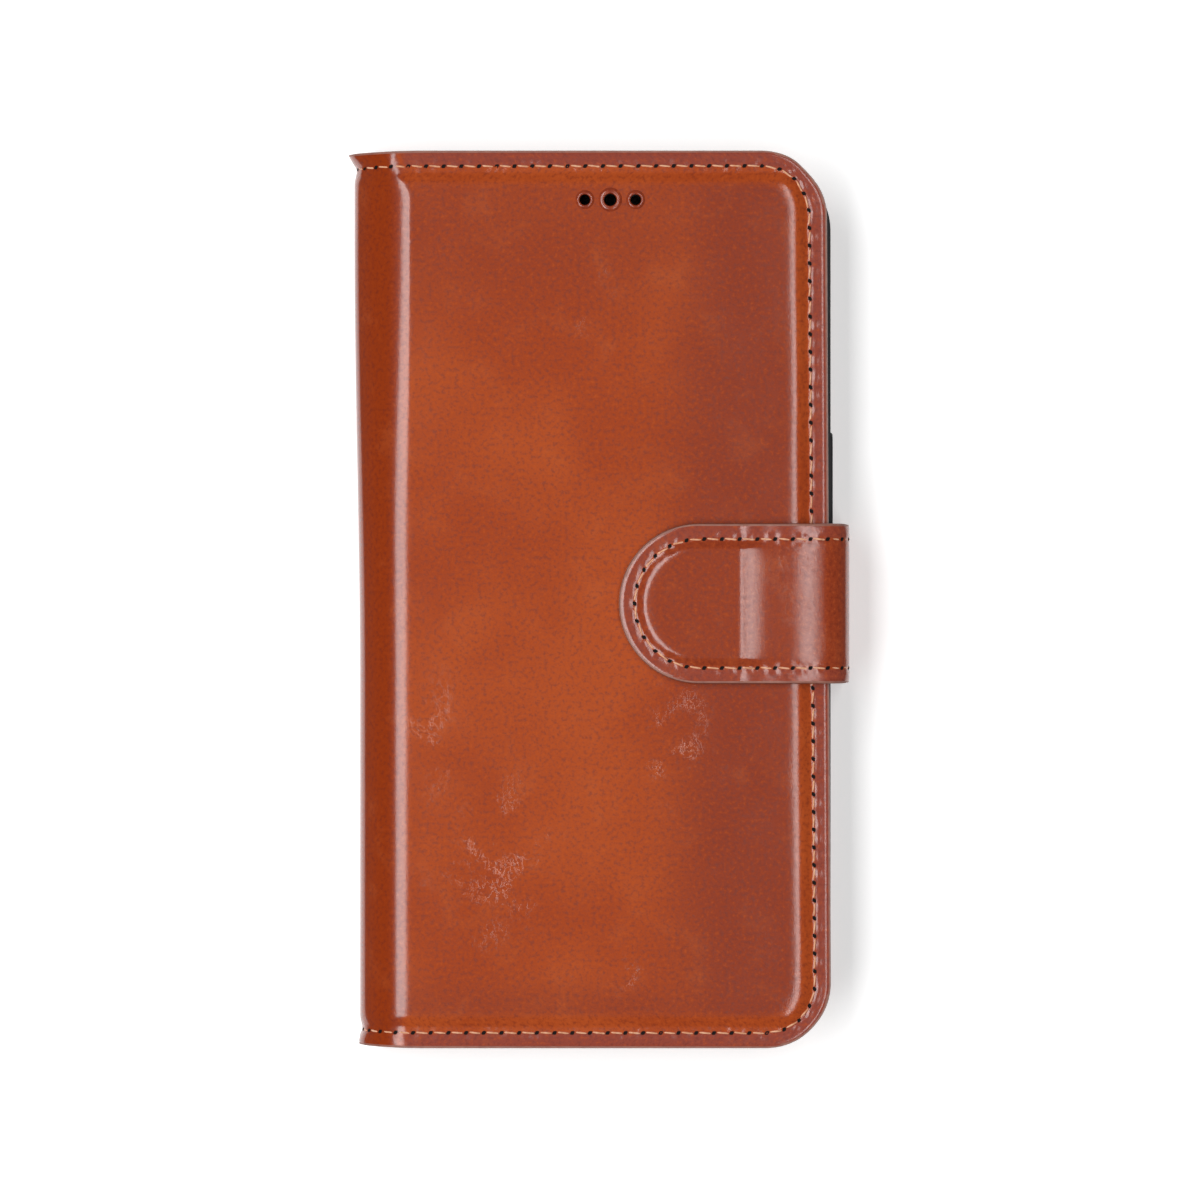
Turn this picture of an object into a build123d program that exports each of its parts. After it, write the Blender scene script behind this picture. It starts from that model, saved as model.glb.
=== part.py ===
from build123d import *
import os
from math import cos, hypot, sin, radians

# Phone wallet case, lying closed on its back cover. +X runs from the spine to the strap, +Y runs up
# the cover, and +Z is the front cover's outward normal. The origin is at the bottom centre.

# ---- driving dimensions, mm ----
CASE_W = 84.0  # from the spine's outer face to the strap's outer face
CASE_L = 152.0
PHONE_W = 71.4
PHONE_L = 144.0
PHONE_T = 8.1
PHONE_CORNER_R = 9.0
PHONE_X = 1.4  # the phone's centre line
PHONE_FIT = 0.15  # clearance on each side of the phone

LEATHER_T = 1.1
REINFORCEMENT_T = 0.8
LINING_T = 0.7
POCKET_T = 0.5
PANEL_RISE = 1.0  # the padded panel stands this far above the margin
COVER_CORNER_R = 11.0
STRAP_GAP = 3.6  # from the covers' free edge to the strap's outer face
SPINE_R = 8.0  # outer radius of the two rounded shoulders of the spine

SHELL_FLOOR = 1.2
SHELL_WALL = 1.65
SHELL_LIP = 0.9  # the rim above the phone's glass
LIP_OVERHANG = 0.7
ADHESIVE_T = 0.2
COVER_GAP = 0.3  # between the shell's rim and the pockets above it

STRAP_W = 26.8
STRAP_Y = -0.7
STRAP_REACH = 39.0  # from the strap's outer face to its tip
STRAP_LEATHER_T = 1.2
STRAP_LINING_T = 0.8
STRAP_TOP_R = 5.3
STRAP_BOTTOM_R = 3.5
STRAP_CLEARANCE = 0.1  # between the strap's lining and the panel
ANCHOR_LENGTH = 12.4  # of the strap inside the back cover
MAGNET = (11.0, 13.0, 0.9)
KEEPER = (15.0, 18.0, 0.6)

STITCH_INSET = 2.5
STITCH_PITCH = 3.0
STITCH = (2.2, 0.5, 0.3)  # length, width and depth of one visible stitch
BOBBIN_T = 0.2  # the thread on the inner side lies on the pockets
FOLD_GAP = 0.2  # the slit between two rigid pieces at a fold

# ---- sizes that follow ----
HALF_L = CASE_L / 2
SPINE_X = -CASE_W / 2
STRAP_X = CASE_W / 2
EDGE_X = STRAP_X - STRAP_GAP
COVER_T = LEATHER_T + REINFORCEMENT_T + LINING_T
SHELL_Z = COVER_T + ADHESIVE_T
SEAT_Z = SHELL_Z + SHELL_FLOOR
GLASS_Z = SEAT_Z + PHONE_T
RIM_Z = GLASS_Z + SHELL_LIP
POCKET_COUNT = 4  # three card pockets and the long pocket behind them
INNER_Z = RIM_Z + COVER_GAP + POCKET_COUNT * POCKET_T
MARGIN_Z = INNER_Z + COVER_T
PANEL_Z = MARGIN_Z + PANEL_RISE

CAVITY_W = PHONE_W + 2 * PHONE_FIT
CAVITY_L = PHONE_L + 2 * PHONE_FIT
SHELL_W = CAVITY_W + 2 * SHELL_WALL
SHELL_L = CAVITY_L + 2 * SHELL_WALL
SHELL_RIGHT = PHONE_X + SHELL_W / 2
SHELL_LEFT = PHONE_X - SHELL_W / 2

# The raised panel, and the ridge where it meets the spine.
PANEL_X = (SPINE_X + SPINE_R - 0.1, EDGE_X - 6.0)
PANEL_Y = (-HALF_L + 4.8, HALF_L - 6.6)
PANEL_CORNER_R = 3.0
PANEL_EDGE_R = 0.8

# The fold lines run along Y, given here as (x, z), just outside the leather, so that nothing is
# squeezed when the cover opens and both covers lie flat on the same plane.
SHOULDER_X = SPINE_X + SPINE_R
FOLD_REACH = (SPINE_R + 0.27) * cos(radians(45))
BACK_FOLD = (SHOULDER_X - FOLD_REACH, SPINE_R - FOLD_REACH)
FRONT_FOLD = (BACK_FOLD[0], PANEL_Z - BACK_FOLD[1])
BACK_SHOULDER = (SHOULDER_X, SPINE_R)
FRONT_SHOULDER = (SHOULDER_X, MARGIN_Z - SPINE_R)

STRAP_T = STRAP_LEATHER_T + STRAP_LINING_T
STRAP_TOP_Z = PANEL_Z + STRAP_CLEARANCE + STRAP_T
STRAP_TIP_X = STRAP_X - STRAP_REACH
ANCHOR_Z = LEATHER_T + REINFORCEMENT_T / 2  # middle of the strap where it leaves the back cover
STRAP_LOW_Z = ANCHOR_Z - STRAP_T / 2
SIDE_CORNER = (STRAP_X - STRAP_BOTTOM_R, STRAP_LOW_Z + STRAP_BOTTOM_R)
FLAP_CORNER = (STRAP_X - STRAP_TOP_R, STRAP_TOP_Z - STRAP_TOP_R)


def around(corner, radius, degrees):
    """The point at a radius and an angle from a corner's centre, in XZ."""
    return (corner[0] + radius * cos(radians(degrees)), corner[1] + radius * sin(radians(degrees)))


SIDE_FOLD = around(SIDE_CORNER, STRAP_BOTTOM_R + 0.1, -45)
FLAP_FOLD = around(FLAP_CORNER, STRAP_TOP_R + 0.1, 50)

# The window for the rear cameras, and the holes over the earpiece.
WINDOW = (30.0, 35.0)
WINDOW_R = 9.0
WINDOW_X = PHONE_X + PHONE_W / 2 - 2.5 - WINDOW[0] / 2
WINDOW_Y = PHONE_L / 2 - 2.5 - WINDOW[1] / 2
HOLE_Y = HALF_L - 8.3
HOLES = ((-4.3, 0.9), (0.0, 1.05), (4.3, 0.9))  # offset from the centre line, radius

# Buttons: middle along Y and length. They are proud of the shell and move inwards.
BUTTON_H = 3.4
BUTTON_Z = SEAT_Z + PHONE_T / 2
BUTTON_PROUD = 0.5
BUTTON_GAP = 0.2
SIDE_BUTTON = (19.25, 18.5)
VOLUME_BUTTONS = {"volume_up_button": (33.5, 11.0), "volume_down_button": (19.5, 11.0)}
MUTE_SLOT = (47.5, 8.0)

# Mouths of the card pockets, from the deepest to the shallowest, and of the long pocket.
LONG_POCKET_MOUTH = 58.0
CARD_MOUTHS = (24.0, 8.0, -8.0)
POCKET_LEFT = -32.0
THUMB_R = 9.0


def block(x, y, z):
    """A box between two limits along each axis."""
    size = [high - low for low, high in (x, y, z)]
    centre = [(high + low) / 2 for low, high in (x, y, z)]
    return Pos(*centre) * Box(*size)


def rounded_block(x, y, z, radius):
    """A box between two limits along each axis, with rounded vertical edges."""
    face = RectangleRounded(x[1] - x[0], y[1] - y[0], radius)
    return Pos((x[0] + x[1]) / 2, (y[0] + y[1]) / 2, z[0]) * extrude(face, z[1] - z[0])


def cover_outline(left, low, high, z):
    """A plate with the covers' two rounded corners on its free edge."""
    plate = block((left, EDGE_X), (low, high), z)
    corners = plate.edges().filter_by(Axis.Z).group_by(Axis.X)[-1]
    ends = [e for e in corners if abs(abs(e.center().Y) - HALF_L) < 1]
    return fillet(ends, COVER_CORNER_R) if ends else plate


def along_y(face, low, high):
    """Extrudes a face drawn in XZ between two places on Y."""
    return Pos(0, high, 0) * extrude(face, high - low)


def ring(x, z, radii, depths):
    """A band, in XZ, between two depths under a rectangle with rounded corners.

    radii maps which corner, as (right, top), to its radius."""

    def level(depth):
        size = (x[1] - x[0] - 2 * depth, z[1] - z[0] - 2 * depth)
        face = Pos((x[0] + x[1]) / 2, (z[0] + z[1]) / 2) * Rectangle(*size)
        for (right, top), radius in radii.items():
            corner = face.vertices().group_by(Axis.X)[-1 if right else 0].sort_by(Axis.Y)
            face = fillet(corner[-1 if top else 0], radius - depth)
        return face

    return Plane.XZ * (level(depths[0]) - level(depths[1]))


def fold_slit(fold, centre):
    """A thin slab along Y, in the plane through a fold line and its corner's centre."""
    reach = 12
    length = hypot(fold[0] - centre[0], fold[1] - centre[1])
    out = ((fold[0] - centre[0]) / length, (fold[1] - centre[1]) / length)
    plane = Plane(origin=(centre[0], 0, centre[1]), x_dir=(out[0], 0, out[1]), z_dir=(0, 1, 0))
    return plane * Pos(reach / 2, 0, 0) * Box(reach, FOLD_GAP, 2 * CASE_L)


def split_at_folds(whole, slits):
    """The pieces of a bent layer, from the lowest to the highest."""
    for slit in slits:
        whole = whole - slit
    return whole.solids().sort_by(Axis.Z)


def cover_layer(depths):
    """One layer of the folio, which is one sheet from the back cover round the spine to the front."""
    beyond = 20  # the ring's right side, which the outline cuts off
    corners = {(False, False): SPINE_R, (False, True): SPINE_R}
    face = ring((SPINE_X, EDGE_X + beyond), (0, MARGIN_Z), corners, depths)
    layer = along_y(face, -HALF_L, HALF_L)
    layer = layer & cover_outline(SPINE_X, -HALF_L, HALF_L, (0, MARGIN_Z))
    slits = (fold_slit(BACK_FOLD, BACK_SHOULDER), fold_slit(FRONT_FOLD, FRONT_SHOULDER))
    back, spine, front = split_at_folds(layer, slits)
    return {"back": back - window_cut(), "spine": spine, "front": front - earpiece_cuts()}


def window_cut():
    half_w, half_l = WINDOW[0] / 2, WINDOW[1] / 2
    x = (WINDOW_X - half_w, WINDOW_X + half_w)
    y = (WINDOW_Y - half_l, WINDOW_Y + half_l)
    return rounded_block(x, y, (-1, SEAT_Z + 1), WINDOW_R)


def earpiece_cuts():
    depth = PANEL_Z - INNER_Z + 2
    middle = (PANEL_Z + INNER_Z) / 2
    return [Pos(PHONE_X + dx, HOLE_Y, middle) * Cylinder(r, depth) for dx, r in HOLES]


def stitch_frames(path, normal, first=0.0, last=1.0):
    """Places for stitches, a pitch apart along part of a path, on a face whose normal is given."""
    start, end = path.length * first, path.length * last
    count = int((end - start) / STITCH_PITCH)
    for i in range(count):
        share = (start + (i + 0.5) * (end - start) / count) / path.length
        tangent = path.tangent_at(share)
        yield Plane(origin=path.position_at(share), x_dir=tangent, z_dir=normal(tangent))


def stitches(frames):
    """Stitches at those places, sunk flush into the surface."""
    return [frame * Pos(0, 0, -STITCH[2] / 2) * Box(*STITCH) for frame in frames]


def facing(x, y, z):
    return lambda tangent: Vector(x, y, z)


def cover_seam(z):
    """The seam round a cover's three free sides."""
    right, top = EDGE_X - STITCH_INSET, HALF_L - STITCH_INSET
    left = SHOULDER_X + STITCH_PITCH / 2
    corners = [(left, top, z), (right, top, z), (right, -top, z), (left, -top, z)]
    return FilletPolyline(*corners, radius=COVER_CORNER_R - STITCH_INSET)


def spine_frames():
    """Stitches across the spine, near its two ends."""
    for y in (HALF_L - STITCH_INSET, STITCH_INSET - HALF_L):
        points = ((SHOULDER_X, 0), (SPINE_X, 0), (SPINE_X, MARGIN_Z), (SHOULDER_X, MARGIN_Z))
        path = FilletPolyline(*[(x, y, z) for x, z in points], radius=SPINE_R - 0.01)
        across = Vector(0, 1, 0)
        yield from stitch_frames(path, lambda tangent: across.cross(tangent) * -1, 0.27, 0.73)


def back_cover(layers):
    thread = stitches(stitch_frames(cover_seam(0), facing(0, 0, -1)))
    low, high = STRAP_Y - STRAP_W / 2, STRAP_Y + STRAP_W / 2
    reach = (EDGE_X - ANCHOR_LENGTH, EDGE_X + FOLD_GAP / 2)
    anchor_space = block(reach, (low, high), (LEATHER_T, LEATHER_T + REINFORCEMENT_T))
    near, far = EDGE_X - 2 * STITCH_INSET, EDGE_X - ANCHOR_LENGTH + STITCH_INSET / 2
    bottom, top = low + STITCH_INSET, high - STITCH_INSET
    box_seam = Polyline((near, bottom, 0), (far, bottom, 0), (far, top, 0), (near, top, 0))
    anchor_thread = stitches(stitch_frames(box_seam, facing(0, 0, -1)))
    return {
        "back_leather": layers["leather"]["back"] - thread - anchor_thread,
        "back_reinforcement": layers["reinforcement"]["back"] - anchor_space,
        "back_lining": layers["lining"]["back"],
        "back_thread": thread,
        "strap_anchor_thread": anchor_thread,
        "strap_anchor": anchor_space + strap_layer((0, STRAP_T))[0],
    }


def wall_slot(x, y, length, height, z=BUTTON_Z):
    """A slot with round ends through a side wall, centred at a place on the wall."""
    face = Plane(origin=(x, y, z), x_dir=(0, 1, 0), z_dir=(1, 0, 0)) * SlotOverall(length, height)
    return extrude(face, 4, both=True)


def end_slot(x, length, height):
    """A slot with round ends through the shell's bottom wall."""
    face = Plane(origin=(x, -SHELL_L / 2, BUTTON_Z), x_dir=(1, 0, 0), z_dir=(0, 1, 0))
    return extrude(face * SlotOverall(length, height), 4, both=True)


def phone_block(width, length, radius, z):
    x = (PHONE_X - width / 2, PHONE_X + width / 2)
    return rounded_block(x, (-length / 2, length / 2), z, radius)


def phone_shell():
    """A tray that the phone snaps into, with cut-outs for its cameras, socket and buttons."""
    shell = phone_block(SHELL_W, SHELL_L, PHONE_CORNER_R + 2, (SHELL_Z, RIM_Z))
    shell = fillet(shell.faces().sort_by(Axis.Z)[0].edges(), 1.5)
    shell -= phone_block(CAVITY_W, CAVITY_L, PHONE_CORNER_R, (SEAT_Z, GLASS_Z))
    mouth = (CAVITY_W - 2 * LIP_OVERHANG, CAVITY_L - 2 * LIP_OVERHANG)
    shell -= phone_block(*mouth, PHONE_CORNER_R - LIP_OVERHANG, (GLASS_Z, RIM_Z))
    shell -= window_cut()
    shell -= end_slot(PHONE_X, 13.0, 5.4)
    for side in (-1, 1):
        shell -= end_slot(PHONE_X + side * 18.0, 15.0, 2.6)
    grown = 2 * BUTTON_GAP
    shell -= wall_slot(SHELL_RIGHT, SIDE_BUTTON[0], SIDE_BUTTON[1] + grown, BUTTON_H + grown)
    for y, length in VOLUME_BUTTONS.values():
        shell -= wall_slot(SHELL_LEFT, y, length + grown, BUTTON_H + grown)
    shell -= wall_slot(SHELL_LEFT, *MUTE_SLOT, BUTTON_H + grown)
    return shell


def button(side, y, length):
    """A button cover that fills its slot and stands proud of the shell."""
    thickness = SHELL_WALL + BUTTON_PROUD
    inner = PHONE_X + side * CAVITY_W / 2
    face = Plane(origin=(inner, y, BUTTON_Z), x_dir=(0, 1, 0), z_dir=(side, 0, 0))
    cover = extrude(face * SlotOverall(length, BUTTON_H), thickness)
    outer = cover.faces().sort_by(Axis.X)[-1 if side > 0 else 0]
    return fillet(outer.edges(), 0.35)


def shell_adhesive():
    inset = 3.0
    film = phone_block(SHELL_W - 2 * inset, SHELL_L - 2 * inset, PHONE_CORNER_R, (COVER_T, SHELL_Z))
    return film - window_cut()


def spine(layers):
    thread = stitches(spine_frames())
    return {
        "spine_leather": layers["leather"]["spine"] - thread,
        "spine_reinforcement": layers["reinforcement"]["spine"],
        "spine_lining": layers["lining"]["spine"],
        "spine_thread": thread,
    }


def panel_block(inset, z):
    x = (PANEL_X[0] + inset, PANEL_X[1] - inset)
    y = (PANEL_Y[0] + inset, PANEL_Y[1] - inset)
    return rounded_block(x, y, z, PANEL_CORNER_R - inset)


def front_cover(layers):
    raised = panel_block(0, (MARGIN_Z - LEATHER_T, PANEL_Z))
    raised = fillet(raised.faces().sort_by(Axis.Z)[-1].edges(), PANEL_EDGE_R)
    foam_z = (MARGIN_Z - LEATHER_T, PANEL_Z - LEATHER_T)
    foam = panel_block(LEATHER_T, foam_z) - earpiece_cuts()
    x, y = strap_magnet_place()
    keeper = Pos(x, y, foam_z[0] + KEEPER[2] / 2) * Box(*KEEPER)
    thread = stitches(stitch_frames(cover_seam(MARGIN_Z), facing(0, 0, 1)))
    leather = layers["leather"]["front"] + (raised - earpiece_cuts())
    return {
        "front_leather": leather - foam - keeper - thread,
        "front_foam": foam - keeper,
        "clasp_plate": keeper,
        "front_reinforcement": layers["reinforcement"]["front"],
        "front_lining": layers["lining"]["front"],
        "front_thread": thread,
    }


def pockets():
    """The long pocket and three card pockets, which overlap like tiles on the front cover's lining."""
    made = {}
    z = INNER_Z
    for i, mouth in enumerate((LONG_POCKET_MOUTH,) + CARD_MOUTHS):
        panel = cover_outline(POCKET_LEFT, -HALF_L, mouth, (z - POCKET_T, z))
        thumb = Pos(PHONE_X, mouth + THUMB_R * 0.55, z) * Cylinder(THUMB_R, 3 * POCKET_T)
        made[f"card_pocket_{i}" if i else "long_pocket"] = panel - thumb
        z -= POCKET_T
    return made


def pocket_thread():
    """The bobbin thread on the inner side, which follows each pocket's own face."""
    right, bottom = EDGE_X - STITCH_INSET, STITCH_INSET - HALF_L
    nearest = INNER_Z - POCKET_COUNT * POCKET_T
    rows = [Line((right - COVER_CORNER_R, bottom, nearest), (POCKET_LEFT + 1, bottom, nearest))]
    steps = (HALF_L - COVER_CORNER_R, LONG_POCKET_MOUTH) + CARD_MOUTHS + (COVER_CORNER_R - HALF_L,)
    for i, (high, low) in enumerate(zip(steps, steps[1:])):
        z = INNER_Z - i * POCKET_T
        rows.append(Line((right, high, z), (right, low + 1, z)))
    frames = [frame for row in rows for frame in stitch_frames(row, facing(0, 0, -1))]
    return [frame * Pos(0, 0, BOBBIN_T / 2) * Box(STITCH[0], STITCH[1], BOBBIN_T) for frame in frames]


def strap_layer(depths):
    """One layer of the strap, which is one strip from the back cover round the side to the front."""
    corners = {(True, False): STRAP_BOTTOM_R, (True, True): STRAP_TOP_R}
    beyond = 20
    face = ring((STRAP_TIP_X - beyond, STRAP_X), (STRAP_LOW_Z, STRAP_TOP_Z), corners, depths)
    low, high = STRAP_Y - STRAP_W / 2, STRAP_Y + STRAP_W / 2
    layer = along_y(face, low, high)
    inside = EDGE_X + FOLD_GAP / 2
    layer -= block((STRAP_TIP_X - 2 * beyond, inside), (low - 1, high + 1), (-1, SIDE_CORNER[1]))
    tip = rounded_block((STRAP_TIP_X, STRAP_X + beyond), (low, high), (0, STRAP_TOP_Z), STRAP_W / 2 - 0.01)
    slits = (fold_slit(SIDE_FOLD, SIDE_CORNER), fold_slit(FLAP_FOLD, FLAP_CORNER))
    anchor, side, flap = split_at_folds(layer, slits)
    return anchor, side, flap & tip


def strap_magnet_place():
    return STRAP_TIP_X + 7.8 + MAGNET[0] / 2, STRAP_Y


def strap_side(leather, lining):
    thread = []
    for y in (STRAP_Y - STRAP_W / 2 + STITCH_INSET, STRAP_Y + STRAP_W / 2 - STITCH_INSET):
        row = Line((STRAP_X, y, SIDE_CORNER[1]), (STRAP_X, y, FLAP_CORNER[1]))
        thread += stitches(stitch_frames(row, facing(1, 0, 0)))
    return {
        "strap_side_leather": leather - thread,
        "strap_side_lining": lining,
        "strap_side_thread": thread,
    }


def strap_flap(leather, lining):
    """The flap, whose filler and magnet lift the leather inside the seam."""
    low, high = STRAP_Y - STRAP_W / 2, STRAP_Y + STRAP_W / 2
    inset = 4.2
    end_x = STRAP_TIP_X + 20.4
    filler_z = (STRAP_TOP_Z - STRAP_LEATHER_T, STRAP_TOP_Z - STRAP_LEATHER_T + MAGNET[2])

    def pad(margin, z):
        x = (STRAP_TIP_X + margin, end_x + STRAP_W)
        whole = rounded_block(x, (low + margin, high - margin), z, STRAP_W / 2 - margin - 0.01)
        return whole & block((STRAP_TIP_X, end_x - margin + inset), (low, high), (0, z[1]))

    x, y = strap_magnet_place()
    magnet = Pos(x, y, sum(filler_z) / 2) * Box(*MAGNET)
    filler = pad(inset, filler_z)
    raised = pad(inset - 0.8, (filler_z[0], filler_z[1] + STRAP_LEATHER_T))
    raised = fillet(raised.faces().sort_by(Axis.Z)[-1].edges(), 0.6)
    edge = STRAP_W / 2 - STITCH_INSET
    right, left = FLAP_CORNER[0], STRAP_TIP_X + STITCH_INSET
    corners = [(right, edge), (left, edge), (left, -edge), (right, -edge)]
    seam = FilletPolyline(*[(x, STRAP_Y + y, STRAP_TOP_Z) for x, y in corners], radius=edge - 0.05)
    thread = stitches(stitch_frames(seam, facing(0, 0, 1)))
    return {
        "strap_flap_leather": leather + raised - filler - thread,
        "strap_flap_lining": lining,
        "strap_flap_thread": thread,
        "strap_filler": filler - magnet,
        "strap_magnet": magnet,
    }


def build():
    """Every node's name and shape."""
    depths = [0, LEATHER_T, LEATHER_T + REINFORCEMENT_T, COVER_T]
    names = ("leather", "reinforcement", "lining")
    layers = {name: cover_layer(pair) for name, pair in zip(names, zip(depths, depths[1:]))}
    leather = strap_layer((0, STRAP_LEATHER_T))
    lining = strap_layer((STRAP_LEATHER_T, STRAP_T))
    nodes = back_cover(layers) | spine(layers) | front_cover(layers) | pockets()
    nodes |= strap_side(leather[1], lining[1]) | strap_flap(leather[2], lining[2])
    nodes["pocket_thread"] = pocket_thread()
    nodes["phone_shell"] = phone_shell()
    nodes["shell_adhesive"] = shell_adhesive()
    nodes["side_button"] = button(1, *SIDE_BUTTON)
    for name, place in VOLUME_BUTTONS.items():
        nodes[name] = button(-1, *place)
    return nodes


os.makedirs("parts", exist_ok=True)
for name, shape in build().items():
    solids = shape if isinstance(shape, list) else shape.solids()
    export_step(Compound(children=list(solids)), f"parts/{name}.step")

print("fold lines (x, z) in mm, back, front, strap side, strap flap:")
for fold in (BACK_FOLD, FRONT_FOLD, SIDE_FOLD, FLAP_FOLD):
    print([round(value, 4) for value in fold])
print("panel, margin, strap and rim heights:", PANEL_Z, MARGIN_Z, STRAP_TOP_Z, RIM_Z)
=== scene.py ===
import math
import bmesh
import bpy
import numpy as np
from mathutils import Matrix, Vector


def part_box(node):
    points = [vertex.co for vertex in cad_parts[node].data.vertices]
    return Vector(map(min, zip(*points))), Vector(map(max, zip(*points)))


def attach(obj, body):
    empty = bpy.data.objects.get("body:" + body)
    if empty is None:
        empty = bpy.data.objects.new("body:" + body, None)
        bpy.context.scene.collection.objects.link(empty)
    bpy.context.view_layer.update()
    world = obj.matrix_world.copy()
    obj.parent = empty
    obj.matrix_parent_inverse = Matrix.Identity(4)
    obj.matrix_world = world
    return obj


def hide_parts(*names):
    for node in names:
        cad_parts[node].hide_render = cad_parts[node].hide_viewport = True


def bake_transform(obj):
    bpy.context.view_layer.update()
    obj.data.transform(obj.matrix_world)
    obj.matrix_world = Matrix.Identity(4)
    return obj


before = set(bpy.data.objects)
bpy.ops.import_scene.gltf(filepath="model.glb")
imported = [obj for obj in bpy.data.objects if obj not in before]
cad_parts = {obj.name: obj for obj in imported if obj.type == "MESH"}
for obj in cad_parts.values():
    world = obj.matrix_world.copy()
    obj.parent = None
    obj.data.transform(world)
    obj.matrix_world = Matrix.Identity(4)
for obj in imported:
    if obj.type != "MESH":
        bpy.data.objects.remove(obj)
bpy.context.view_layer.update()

# A phone wallet case in glossy tan leather, closed, lying on its back cover. Lengths in this file
# are in millimetres, in the frame of the CAD model, except where a comment says metres.

MM = 0.001


def node_box(node):
    """A CAD node's lowest and highest corners, in mm."""
    low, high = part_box(node)
    return np.array(low) / MM, np.array(high) / MM


# ---- sizes ----
SPINE_X = node_box("spine_leather")[0][0]
EDGE_X = node_box("front_leather")[1][0]
HALF_L = node_box("front_leather")[1][1]
PANEL_Z = node_box("front_leather")[1][2]
STRAP_X = node_box("strap_side_leather")[1][0]
STRAP_LOW, STRAP_HIGH = node_box("strap_flap_lining")
STRAP_Y = (STRAP_LOW[1] + STRAP_HIGH[1]) / 2
STRAP_HALF_W = (STRAP_HIGH[1] - STRAP_LOW[1]) / 2
STRAP_TIP_X = STRAP_LOW[0]

LEATHER_T = 1.1
REINFORCEMENT_T = 0.8
LINING_T = 0.7
COVER_T = LEATHER_T + REINFORCEMENT_T + LINING_T
MARGIN_Z = node_box("front_foam")[1][2] + LEATHER_T - 1.0
MIDDLE_Z = 9.4  # the middle of the spine
MARGIN_RISE = MARGIN_Z - MIDDLE_Z
CORNER_R = 11.0
RIDGE_X = SPINE_X + 9.5  # where the spine's curve meets the front cover's plane
PANEL_FOOT = (EDGE_X - 2.85, HALF_L - 3.3, -HALF_L + 3.2)  # the padded panel's foot: right, top, bottom
STITCH_INSET = 2.5
STITCH_PITCH = 3.0
SEAM_DEPTH = 0.09
RIM_REACH = 0.9  # how far from an opening its ragged rim may start
THREAD_R = 0.155
STITCH_LEAN = 0.13  # how far a stitch's ends lie beside the seam's line
EDGE_WRAP = 0.28  # how far the edge paint comes round on to the outer leather
BOBBIN_LIFT = 0.02  # how much prouder the thread lies on the back of a seam

PHONE_X = 1.4
HOLE_Y = HALF_L - 8.3
HOLES = ((-4.3, 0.9), (0.0, 1.05), (4.3, 0.9))


# ---- small maths ----
def smooth(t):
    """0 below 0, 1 above 1, and a smooth rise between."""
    t = np.clip(t, 0.0, 1.0)
    return t * t * (3.0 - 2.0 * t)


def bump(t, centre, width):
    """A bell of height 1."""
    return np.exp(-(((t - centre) / width) ** 2))


def waves(a, b, scale, seed, count=16):
    """Smooth noise of about -1 to 1 over a plane, as sine waves of random directions."""
    rng = np.random.default_rng(seed)
    total = np.zeros(np.broadcast(a, b).shape)
    for _ in range(count):
        turn, phase = rng.uniform(0.0, 2.0 * math.pi, 2)
        length = scale * rng.uniform(0.6, 1.8)
        total = total + np.sin(2.0 * math.pi * (a * math.cos(turn) + b * math.sin(turn)) / length + phase)
    return total / math.sqrt(count)


def from_slopes(at, knots):
    """A height whose slope in degrees is given at some places, in order, and joined up between."""
    places, slopes = np.array(knots, float).T
    dense = np.linspace(places[0], places[-1], 900)
    slope = np.tan(np.radians(np.interp(dense, places, slopes)))
    rise = np.concatenate([[0.0], np.cumsum((slope[1:] + slope[:-1]) / 2 * np.diff(dense))])
    return np.interp(at, dense, rise)


def unit(v):
    return v / np.maximum(np.linalg.norm(v, axis=-1, keepdims=True), 1e-9)


def length_along(points):
    """The length from the start to each point of a path, or of each of a grid's columns."""
    return np.cumsum(np.linalg.norm(np.diff(points, axis=0, prepend=points[:1]), axis=-1), axis=0)


def refined(values, low, high, count):
    """The same values, with evenly spaced ones over a stretch."""
    outside = values[(values < low) | (values > high)]
    return np.sort(np.concatenate([outside, np.linspace(low, high, count)]))


def grid_normals(points):
    """Unit normals of a grid of points, right-handed in the order of its axes."""
    return unit(np.cross(np.gradient(points, axis=0), np.gradient(points, axis=1)))


def steps(length, fine, zone, coarse, both=True):
    """Shares from 0 to 1 along a length, closer together over a zone at the far end or at both."""
    edge = np.linspace(0.0, zone, int(round(zone / fine)) + 1)
    start = zone if both else 0.0
    count = int(round((length - zone - start) / coarse)) + 1
    middle = np.linspace(start, length - zone, count)
    parts = [edge[:-1]] if both else []
    return np.concatenate(parts + [middle, (length - zone) + edge[1:]]) / length


# ---- meshes ----
def make_object(name, verts, faces, materials, indices=None, flat=None, shade_and_tone=None, crease=None):
    """A smooth-shaded object from points in mm. flat holds the leather's flat coordinates in mm,
    the next array its painted shade and the margin's own tone, and crease how creased, for its material."""
    mesh = bpy.data.meshes.new(name)
    mesh.from_pydata((np.asarray(verts) * MM).tolist(), [], faces)
    for material in materials:
        mesh.materials.append(material)
    if indices is not None:
        mesh.polygons.foreach_set("material_index", np.asarray(indices, np.int32))
    for label, kind, field, values in (
        ("flat_mm", "FLOAT_VECTOR", "vector", flat),
        ("shade_and_tone", "FLOAT", "value", shade_and_tone),
        ("crease", "FLOAT", "value", crease),
    ):
        if values is not None:
            attribute = mesh.attributes.new(label, kind, "POINT")
            attribute.data.foreach_set(field, np.asarray(values, np.float32).ravel())
    work = bmesh.new()
    work.from_mesh(mesh)
    bmesh.ops.delete(work, geom=[v for v in work.verts if not v.link_faces], context="VERTS")
    bmesh.ops.recalc_face_normals(work, faces=work.faces)
    work.to_mesh(mesh)
    work.free()
    mesh.polygons.foreach_set("use_smooth", [True] * len(mesh.polygons))
    mesh.set_sharp_from_angle(angle=math.radians(50))
    obj = bpy.data.objects.new(name, mesh)
    bpy.context.scene.collection.objects.link(obj)
    return obj


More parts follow.
